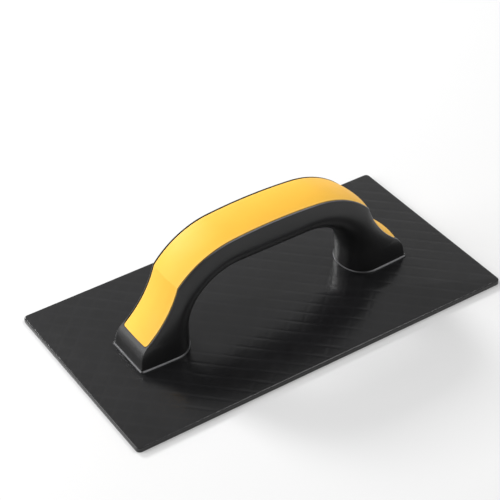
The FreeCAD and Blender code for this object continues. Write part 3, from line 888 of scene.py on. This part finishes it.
def measured(places: list[Place], start: float) -> list[Spot]:
    """Add their distance along the line to places.

    Args:
        places: The places.
        start: Distance of the first one.

    Returns:
        The places with their distance.
    """
    spots: list[Spot] = []
    run, before = start, places[0][0]
    for at, out in places:
        run += (at - before).length
        before = at
        spots.append(Spot(at, out, run))
    return spots


def both_halves(right: list[Spot]) -> list[Spot]:
    """Places from the left end to the right, made of those of the right half."""
    return [spot.mirrored() for spot in reversed(right[1:])] + right


def narrowed(full: float, corner: float, left: float) -> float:
    """Half width at a distance from an end with round corners."""
    dip = max(0.0, corner - left)
    return full - corner + math.sqrt(max(0.0, corner**2 - dip**2))


# ---- handle

# A crowned bevel, as shares of its width and its drop, from the side to the top.
BEVEL = ((0.0, 1.0), (0.06, 0.77), (0.18, 0.57), (0.47, 0.29), (0.76, 0.08), (1.0, 0.0))
# How much painted highlight the edges get, a paler colour standing in for caught light: down the bevel from
# the top, round a foot's lip from its inner end to a side, round one corner of the toe, and up and over the
# lip.
BEVEL_HIGHLIGHT = (0.7, 1.0, 1.0, 0.8, 0.2, 0.0)
LIP_ROUND_HIGHLIGHT = (0.45, 0.5, 0.6, 0.7, 0.8, 0.75, 0.5, 0.3, 0.2, 0.2, 0.35, 0.6, 0.9)
LIP_CORNER_HIGHLIGHT = (1.0, 0.5, 0.1, 0.05, 0.1, 0.35, 0.6)
LIP_HEIGHT_HIGHLIGHT = (0, 0, 0.6, 1, 1, 1, 1, 1, 0.8, 0)
# Places along a foot's straight side, as shares of its length.
FOOT_SIDE = (0.2, 0.4, 0.6, 0.8)


@dataclass
class Handle:
    """The moulded bridge handle, with the seat of the strip and a lip round each foot.

    The highlight fields say how much painted highlight, a paler colour standing in for caught light, the rim
    gets:
    at the top, at the right end, how fast that goes to nothing down the left shoulder, and over the first
    rows of the toe.
    """

    view: SideView = field(default_factory=SideView)
    grip_half: float = 17.4
    foot_half: float = 18.4
    toe_half: float = 17.5
    lip_half: float = 16.7
    lip_end_half: float = 15.3
    grip_belly: float = 16.0
    foot_belly: float = 15.4
    side_power: float = 1.6
    edge_room: float = 0.3
    squeeze: float = 0.3
    rim: float = 0.95
    rim_round: float = 0.85
    rim_drop: float = 0.6
    seat_round: float = 0.08
    seat_corner: float = 2.2
    groove: float = 0.7
    groove_depth: float = 0.8
    seat_depth: float = 2.6
    ledge: float = 3.0
    toe_round: float = 0.9
    toe_start: float = 38.0
    lip_width: float = 1.0
    lip_height: float = 1.0
    lip_round: float = 0.8
    lip_belly: float = 0.25
    lip_inside: float = 0.8
    # Painted highlight shares of the rim and the toe, a paler colour standing in for caught light.
    grip_highlight: float = 0.75
    end_highlight: float = 0.35
    highlight_fade: float = 3.5
    toe_highlight: float = 0.1
    toe_highlight_rows: int = 6
    belly_steps: int = 16
    side_steps: int = 6
    top_steps: int = 12

    def side_points(self, spot: Spot) -> list[Point]:
        """One row of the outside, from one top edge round the belly to the other.

        Args:
            spot: Place on the top line where the row starts and ends.

        Returns:
            The points; the first and last few round the top edges.
        """
        right = spot.folded()
        foot, along, share = self.view.foot(right)
        reach = (right.at - foot).length
        half = mix(self.grip_half, self.foot_half, share)
        belly = mix(self.grip_belly, self.foot_belly, share)
        lip = self.lip_at(right)
        row = arc((0.0, belly), (half, belly), -90, 90, self.belly_steps)
        for i in range(1, self.side_steps):
            t = i / self.side_steps
            row.append((half - (half - lip) * t**self.side_power, mix(belly, reach, t)))
        back = Vector((self.side_power * (half - lip), belly - reach)).normalized()
        edge = [(p.x, p.y) for p in self.edge_points(right, Vector((lip, reach)), back)]
        keep = [p for p in row if p[1] < edge[0][1] - self.edge_room]
        while len(keep) < len(row):
            keep.append(tuple(mix(a, b, self.squeeze) for a, b in zip(keep[-1], edge[0])))
        row = keep + edge
        full = [(y, h) for y, h in reversed(row)] + [(-y, h) for y, h in row[1:]]
        places = [(y, foot + along * h) for y, h in full]
        return [(spot.side * at.x, y, at.y + self.view.base) for y, at in places]

    def edge_points(self, right: Spot, corner: Vector, back: Vector) -> list[Vector]:
        """Edge between side and top, a crowned bevel along the strip and a round over the toe.

        Args:
            right: Place on the right half of the top line.
            corner: Corner before it is bevelled, across and up.
            back: Direction from the corner down the side.

        Returns:
            Six points from the side to the top.
        """
        bevel = [corner - Vector((self.rim_round * x, self.rim_drop * h)) for x, h in BEVEL]
        round_edge = fillet(corner, back, Vector((-1, 0)), self.toe_round, len(BEVEL) - 1)
        return [a.lerp(b, self.toe_share(right)) for a, b in zip(bevel, round_edge)]

    def lip_at(self, right: Spot) -> float:
        """Half width at the top line, before its edge is bevelled."""
        low = max(0.0, 1 - right.at.y / self.view.strip_end[1])
        return mix(mix(self.lip_half, self.lip_end_half, self.view.taper(right)), self.toe_half, low)

    def toe_share(self, right: Spot) -> float:
        """Share of the way from the strip's end to the face of the toe.

        Args:
            right: Place on the right half of the top line.

        Returns:
            The share, from 0 to 1.
        """
        if right.run <= self.view.end.run:
            return 0.0
        turn = math.radians(90 - self.toe_start - self.view.toe_lean)
        return ease((angle_of(right.out) - math.radians(self.toe_start)) / turn)

    def seat_points(self, spot: Spot) -> list[Point]:
        """One row over the top between the two edges, down through the strip's seat.

        Args:
            spot: Place on the top line where the row crosses it.

        Returns:
            The points.
        """
        right = spot.folded()
        left = self.view.end.run + self.view.strip_gap - right.run
        half, r = narrowed(self.lip_at(right) - self.rim, self.seat_corner, left), self.seat_round
        start, wall = self.lip_at(right) - self.rim_round, half - self.groove
        row = [(mix(start, half + r, i / 3), 0.0) for i in range(3)]
        row += arc((half + r, -r), (r, r), 90, 90, 3)
        row += [(half, -self.groove_depth), (wall, -self.groove_depth), (wall, -self.seat_depth),
                (half - self.ledge, -self.seat_depth), (0.0, -self.seat_depth)]
        full = row + [(-y, d) for y, d in reversed(row[:-1])]
        return [self.view.point(spot, y, d) for y, d in full]

    def toe_points(self, spot: Spot) -> list[Point]:
        """One row straight over the top of the toe.

        Args:
            spot: Place on the toe where the row crosses it.

        Returns:
            The points.
        """
        right = spot.folded()
        start = self.lip_at(right) - mix(self.rim_round, self.toe_round, self.toe_share(right))
        steps = self.top_steps
        return [self.view.point(spot, start * (1 - 2 * i / steps)) for i in range(steps + 1)]

    def build(self) -> bpy.types.Object:
        """Build the handle's mesh."""
        draft = Draft()
        line, toe = self.view.line, self.view.toe
        zone = both_halves(line + [line[-1].half_way(toe[0]), toe[0]])
        for row, spot in zip(draft.skin([self.side_points(spot) for spot in zone]), zone):
            self.paint_rim_highlight(draft, row, self.rim_highlight_share(spot))
        draft.skin([self.seat_points(spot) for spot in zone])
        for side in (1, -1):
            self.add_toe(draft, toe if side > 0 else [spot.mirrored() for spot in toe])
            self.add_foot_lip(draft, side)
        return draft.make("handle", sharp=38.0)

    def rim_highlight_share(self, spot: Spot) -> float:
        """How much painted highlight the rim gets; the left shoulder gets none and stays dark.

        Args:
            spot: Place on the top line.

        Returns:
            The share, from 0 to 1.
        """
        taper = self.view.taper(spot.folded())
        if spot.side < 0:
            return mix(self.grip_highlight, 0.0, min(1.0, self.highlight_fade * taper))
        return mix(self.grip_highlight, self.end_highlight, taper)

    def paint_rim_highlight(self, draft: Draft, row: list[int], share: float) -> None:
        """Paint a highlight as a paler colour on the bevelled edges at both ends of a row of the outside."""
        for edge in (row, row[::-1]):
            draft.paint_highlight(edge, [share * part for part in BEVEL_HIGHLIGHT])

    def add_toe(self, draft: Draft, spots: list[Spot]) -> None:
        """Add one toe.

        Args:
            draft: The draft of the handle.
            spots: Places from the end of the seat over the toe and down.
        """
        sides = draft.skin([self.side_points(spot) for spot in spots])
        # Painted highlight on the edges of the toe's first rows.
        for row in sides[: self.toe_highlight_rows]:
            self.paint_rim_highlight(draft, row, self.toe_highlight)
        tops = draft.skin([self.toe_points(spot) for spot in spots])
        seat = self.seat_points(spots[0])
        wall = draft.row(seat[2:-2])
        wall += reversed(draft.row([p for p in self.toe_points(spots[0]) if abs(p[1]) < abs(seat[2][1])]))
        draft.cap(wall)
        draft.cap(sides[-1] + tops[-1][-2:0:-1])

    def foot_outline(self, grow: float) -> list[Flat]:
        """Plan of the right foot where it stands on the plate.

        Args:
            grow: Distance outwards.

        Returns:
            The outline.
        """
        half, toe = self.foot_half + grow, self.toe_half + grow
        belly = self.foot_belly + grow * self.lip_belly
        inner = self.view.leg_centre.x + self.view.leg_radius + self.foot_belly
        tip, r = self.view.toe_x + grow, self.toe_round + grow
        side = [(mix(inner, self.view.toe_x, t), half - (half - toe) * t**self.side_power) for t in FOOT_SIDE]
        points = arc((inner, 0.0), (belly, half), 90, 180, 2 * len(LIP_ROUND_HIGHLIGHT) - 2)
        points += [(x, -y) for x, y in side]
        for cy, start in ((r - toe, -90), (toe - r, 0)):
            points += arc((tip - r, cy), (r, r), start, 90, len(LIP_CORNER_HIGHLIGHT) - 1)
        return points + list(reversed(side))

    def add_foot_lip(self, draft: Draft, side: int) -> None:
        """Add the lip round one foot.

        Args:
            draft: The draft of the handle.
            side: 1 for the right foot and -1 for the left.
        """
        wide, high, r = self.lip_width, self.lip_height, self.lip_round
        rings = [(-self.lip_inside, 0.0), (wide, 0.0), *arc((wide - r, high - r), (r, r), 0, 90, 6),
                 (-self.lip_inside, high)]
        loops = [[(side * x, side * y, z + self.view.base) for x, y in self.foot_outline(grow)]
                 for grow, z in rings]
        # Painted highlight round the lip, paler where the lip would catch the lamps.
        straight = (1.0,) * len(FOOT_SIDE)
        around = (LIP_ROUND_HIGHLIGHT[:0:-1] + LIP_ROUND_HIGHLIGHT + straight + LIP_CORNER_HIGHLIGHT + LIP_CORNER_HIGHLIGHT[::-1]
                  + straight)
        for row, share in zip(draft.skin(loops, closed=True), LIP_HEIGHT_HIGHLIGHT):
            draft.paint_highlight(row, [share * part for part in around])

    def dress(self, piece: bpy.types.Object) -> None:
        """Give the handle its plastic.

        Args:
            piece: The piece that build made.
        """
        # The edge colour is the painted highlight colour of the rim and the lips.
        plastic = MouldedPlastic("handle plastic", colour=(0.007, 0.007, 0.0074), shade=0.12,
                                 roughness=(0.33, 0.39), grain=0.015, grain_size=0.7, ripple=0.02,
                                 edge=(0.20, 0.20, 0.21))
        dress(piece, plastic.material(), Slot.HANDLE, "handle_body")


# ---- strip

# How much painted highlight the strip's edges get, a paler colour standing in for caught light, from its top
# down one side.
STRIP_HIGHLIGHT = (0.3, 0.9, 1.0, 0.7)
# Angles of the rows round the corners of the strip's end and of the points round its edges, in degrees.
CORNER_TURNS = (0, 20, 40, 60, 78, 90)
EDGE_TURNS = (22, 45, 67, 90)


@dataclass
class Strip:
    """The coloured strip that is let into the top of the handle."""

    view: SideView = field(default_factory=SideView)
    half: float = 14.95
    end_half: float = 13.55
    sink: float = 0.1
    thickness: float = 2.6
    crown: float = 1.5
    edge: float = 0.2
    low_edge: float = 0.2
    corner: float = 1.9
    tongue_half: float = 12.15
    tongue_width: float = 1.4
    tongue_depth: float = 3.0
    tongue_end: float = 88.0
    across: int = 14

    def row(self, spot: Spot) -> list[Point]:
        """One closed row round the strip.

        Args:
            spot: Place on the top line where the row stands.

        Returns:
            The points, first over the crown, then down one side, back under and up the other side.
        """
        right = spot.folded()
        full = mix(self.half, self.end_half, self.view.taper(right))
        half = narrowed(full, self.corner, self.view.end.run - right.run)
        flat = half - self.edge
        top = [(flat * t, self.height(flat * t / full)) for t in
               (1 - 2 * i / self.across for i in range(self.across + 1))]
        side = [(-flat - self.edge * math.sin(a), self.height(flat / full) - self.edge * (1 - math.cos(a)))
                for a in map(math.radians, EDGE_TURNS)]
        side += [(-half, self.low_edge - self.thickness), (self.low_edge - half, -self.thickness)]
        ring = top + side + [(0.0, -self.thickness)] + [(-y, d) for y, d in reversed(side)]
        return [self.view.point(spot, y, d) for y, d in ring]

    def height(self, share: float) -> float:
        """Height of the crown over the top line, at a share of the half width."""
        return self.crown * (1 - share**2) - self.sink

    def end_spots(self) -> list[Spot]:
        """Places of the right half, closer together in the round corners of the end."""
        end = self.view.end
        kept = [spot for spot in self.view.line if spot.run < end.run - self.corner]
        for turn in CORNER_TURNS:
            left = self.corner * (1 - math.sin(math.radians(turn)))
            kept.append(Spot(end.at - self.view.along * left, end.out, end.run - left))
        return kept

    def build(self) -> bpy.types.Object:
        """Build the strip's mesh."""
        draft = Draft()
        # Painted highlight along the strip's top edges, a paler colour standing in for caught light.
        for row in draft.tube([self.row(spot) for spot in both_halves(self.end_spots())]):
            draft.paint_highlight(row[self.across : self.across + 4], STRIP_HIGHLIGHT)
            draft.paint_highlight([row[0], *row[:-4:-1]], STRIP_HIGHLIGHT)
        for side in (1, -1):
            self.add_tongue(draft, side)
        return draft.make("strip", sharp=45.0)

    def add_tongue(self, draft: Draft, side: int) -> None:
        """Add one tongue under the strip.

        Args:
            draft: The draft of the strip.
            side: 1 or -1, the side of the middle line.
        """
        outer, inner = side * self.tongue_half, side * (self.tongue_half - self.tongue_width)
        top, low = self.low_edge - self.thickness, -self.thickness - self.tongue_depth
        ring = ((outer, top), (outer, low), (inner, low), (inner, top))
        spots = both_halves([spot for spot in self.view.line if spot.at.x < self.tongue_end])
        draft.tube([[self.view.point(spot, y, d) for y, d in ring] for spot in spots])

    def dress(self, piece: bpy.types.Object) -> None:
        """Give the strip its plastic.

        Args:
            piece: The piece that build made.
        """
        # The edge colour is the painted highlight colour of the strip's edges.
        plastic = MouldedPlastic("strip plastic", colour=(0.88, 0.475, 0.036), shade=0.03,
                                 roughness=(0.56, 0.64), grain=0.006, grain_size=0.8, ripple=0.02,
                                 edge=(0.95, 0.60, 0.16), gloss=0.4)
        dress(piece, plastic.material(), Slot.STRIP, "grip_cover")


# ---- screws


@dataclass
class Screws:
    """The two self-tapping screws that hold the feet to the plate, their heads on the webs."""

    x: float = 80.5
    seat: float = 17.95
    length: float = 11.4
    radius: float = 2.0
    core: float = 1.55
    lead: float = 1.6
    crest_half: float = 0.28
    neck: float = 0.6
    run_out: float = 0.8
    tip: float = 1.6
    point: float = 0.25
    head_radius: float = 4.0
    head_height: float = 2.6
    slot_half: float = 0.5
    slot_reach: float = 2.2
    slot_depth: float = 1.5
    slot_taper: float = 0.7
    turns: int = 28
    rows: int = 64

    def thread_radius(self, angle: float, height: float) -> float:
        """Radius of the threaded shank.

        Args:
            angle: Angle round the axis.
            height: Height over the underside of the head, below zero.

        Returns:
            The radius.
        """
        phase = (height / self.lead + angle / (2 * math.pi)) % 1.0
        crest = max(0.0, 1 - abs(phase - 0.5) / self.crest_half)
        fade = min(1.0, max(0.0, -height - self.neck) / self.run_out)
        point = min(1.0, max(0.05, (self.length + height) / self.tip))
        return (self.core + (self.radius - self.core) * crest * fade) * mix(self.point, 1.0, point)

    def add_screw(self, draft: Draft, x: float) -> None:
        """Add one screw.

        Args:
            draft: The draft of the screws.
            x: Place of its axis.
        """
        shank = []
        for i in range(self.rows + 1):
            height = -self.length * (1 - i / self.rows)
            radii = [self.thread_radius(angle, height) for angle in turn_angles(self.turns)]
            shank.append(ring(x, radii, self.seat + height))
        draft.cap(draft.skin(shank, closed=True)[0])
        big, top = self.head_radius, self.seat + self.head_height
        profile = ((self.core, 0.0), (big - 0.2, 0.0), (big, 0.2), (big, 0.9), (0.94 * big, 1.5),
                   (0.8 * big, 2.1), (0.62 * big, self.head_height))
        head = [ring(x, [r] * self.turns, self.seat + z) for r, z in profile]
        draft.skin(head, closed=True)
        arm = [(self.slot_reach, -self.slot_half), (self.slot_reach, self.slot_half), (self.slot_half,) * 2]
        cross: list[Flat] = []
        for _ in range(4):
            cross += arm
            arm = [(-q, p) for p, q in arm]
        draft.fill([point[:2] for point in head[-1]], [[(x + p, q) for p, q in cross]], top)
        drive = [[(x + size * p, size * q, z) for p, q in cross]
                 for size, z in ((1.0, top), (self.slot_taper, top - self.slot_depth))]
        draft.cap(draft.skin(drive, closed=True)[-1])

    def build(self) -> bpy.types.Object:
        """Build the mesh of both screws."""
        draft = Draft()
        for side in (-1, 1):
            self.add_screw(draft, side * self.x)
        return draft.make("screws", sharp=35.0)

    def dress(self, piece: bpy.types.Object) -> None:
        """Give the screws their plating."""
        dress(piece, ZincPlate().material(), Slot.SCREW, "handle_screws")


# ---- studio


@dataclass(frozen=True)
class Lamp:
    """A soft rectangular lamp that faces the middle of the studio.

    Attributes:
        name: Name of the lamp.
        towards: Direction from the middle to the lamp.
        distance: Distance from the middle in metres.
        size: Width and height in metres.
        level: Brightness that it gives a white surface that faces it, 1 for full white.
    """

    name: str
    towards: Point
    distance: float
    size: Flat
    level: float

    def hang(self) -> None:
        """Put the lamp in the scene."""
        data = bpy.data.lights.new(self.name, "AREA")
        data.shape = "RECTANGLE"
        data.size, data.size_y = self.size
        data.energy = self.level * (math.pi * self.distance) ** 2
        lamp = bpy.data.objects.new(self.name, data)
        way = Vector(self.towards).normalized()
        lamp.location = way * self.distance
        lamp.rotation_mode = "QUATERNION"
        lamp.rotation_quaternion = (-way).to_track_quat("-Z", "Y")
        bpy.context.scene.collection.objects.link(lamp)


@dataclass
class Studio:
    """Pale floor, soft light and the camera, placed in metres."""

    camera_at: Point = (-0.45563, -0.69062, 0.69326)
    ahead: Point = (0.42640, 0.66099, -0.61748)
    right: Point = (0.83279, -0.55333, -0.01724)
    lens: float = 117.68
    floor_half: float = 6.0
    floor_colour: float = 0.75
    floor_cloud: float = 0.005
    floor_help: float = 0.04
    sky: float = 0.45
    lamps: tuple[Lamp, ...] = (
        Lamp("back lamp", (-0.15, 0.85, 0.51), 1.6, (0.4, 0.3), 0.68),
        Lamp("left lamp", (-0.82, 0.36, 0.45), 1.5, (1.2, 1.0), 0.67),
        Lamp("top lamp", (0.43, -0.15, 0.88), 1.8, (0.6, 0.6), 0.27),
        Lamp("right lamp", (0.75, 0.65, 0.13), 1.8, (1.4, 0.3), 0.10),
    )

    def set_camera(self) -> None:
        """Make the camera."""
        data = bpy.data.cameras.new("camera")
        data.sensor_fit = "HORIZONTAL"
        data.sensor_width = 36.0
        data.lens = self.lens
        data.clip_start, data.clip_end = 0.01, 50.0
        camera = bpy.data.objects.new("camera", data)
        ahead = Vector(self.ahead).normalized()
        right = (Vector(self.right) - ahead * ahead.dot(Vector(self.right))).normalized()
        turn = Matrix((right, right.cross(ahead), -ahead)).transposed()
        camera.matrix_world = Matrix.Translation(self.camera_at) @ turn.to_4x4()
        bpy.context.scene.collection.objects.link(camera)
        bpy.context.scene.camera = camera

    def lay_floor(self) -> None:
        """Lay the pale floor."""
        h = self.floor_half / MM
        draft = Draft()
        draft.cap(draft.row([(-h, -h, 0.0), (h, -h, 0.0), (h, h, 0.0), (-h, h, 0.0)]))
        floor = draft.make("floor")
        w = Wiring("pale floor")
        deep, pale = self.floor_colour - self.floor_cloud, self.floor_colour + self.floor_cloud
        tint = w.blend(w.noise(*FLOOR_NOISE), (deep, deep, deep, 1.0), (pale, pale, pale, 1.0))
        path = w.add("LightPath")
        seen = w.math("MAXIMUM", path.outputs["Is Camera Ray"], path.outputs["Is Glossy Ray"])
        w.set(w.shader, Base_Color=tint, Roughness=0.9, Specular_IOR_Level=0.0, Emission_Color=WHITE,
              Emission_Strength=w.math("MULTIPLY", seen, self.floor_help))
        floor.data.materials.append(w.material)

    def light(self) -> None:
        """Set the sky, white to the camera and weaker to all else, and hang the lamps."""
        world = bpy.data.worlds.new("studio")
        bpy.context.scene.world = world
        world.use_nodes = True
        tree = world.node_tree
        tree.nodes.clear()
        shades = []
        for strength in (self.sky, 1.0):
            shade = tree.nodes.new("ShaderNodeBackground")
            shade.inputs["Color"].default_value = WHITE
            shade.inputs["Strength"].default_value = strength
            shades.append(shade.outputs[0])
        choice = tree.nodes.new("ShaderNodeMixShader")
        path = tree.nodes.new("ShaderNodeLightPath")
        for source, target in zip((path.outputs["Is Camera Ray"], *shades), choice.inputs):
            tree.links.new(source, target)
        tree.links.new(choice.outputs[0], tree.nodes.new("ShaderNodeOutputWorld").inputs["Surface"])
        for lamp in self.lamps:
            lamp.hang()
        bpy.context.scene.view_settings.view_transform = "Standard"


def main() -> None:
    """Build every piece, dress it and set up the studio."""
    logging.basicConfig(level=logging.INFO, format="%(name)s: %(message)s")
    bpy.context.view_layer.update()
    for part in (Plate(), Handle(), Strip(), Screws()):
        part.dress(part.build())
    studio = Studio()
    studio.lay_floor()
    studio.light()
    studio.set_camera()


if __name__ == "__main__":
    main()
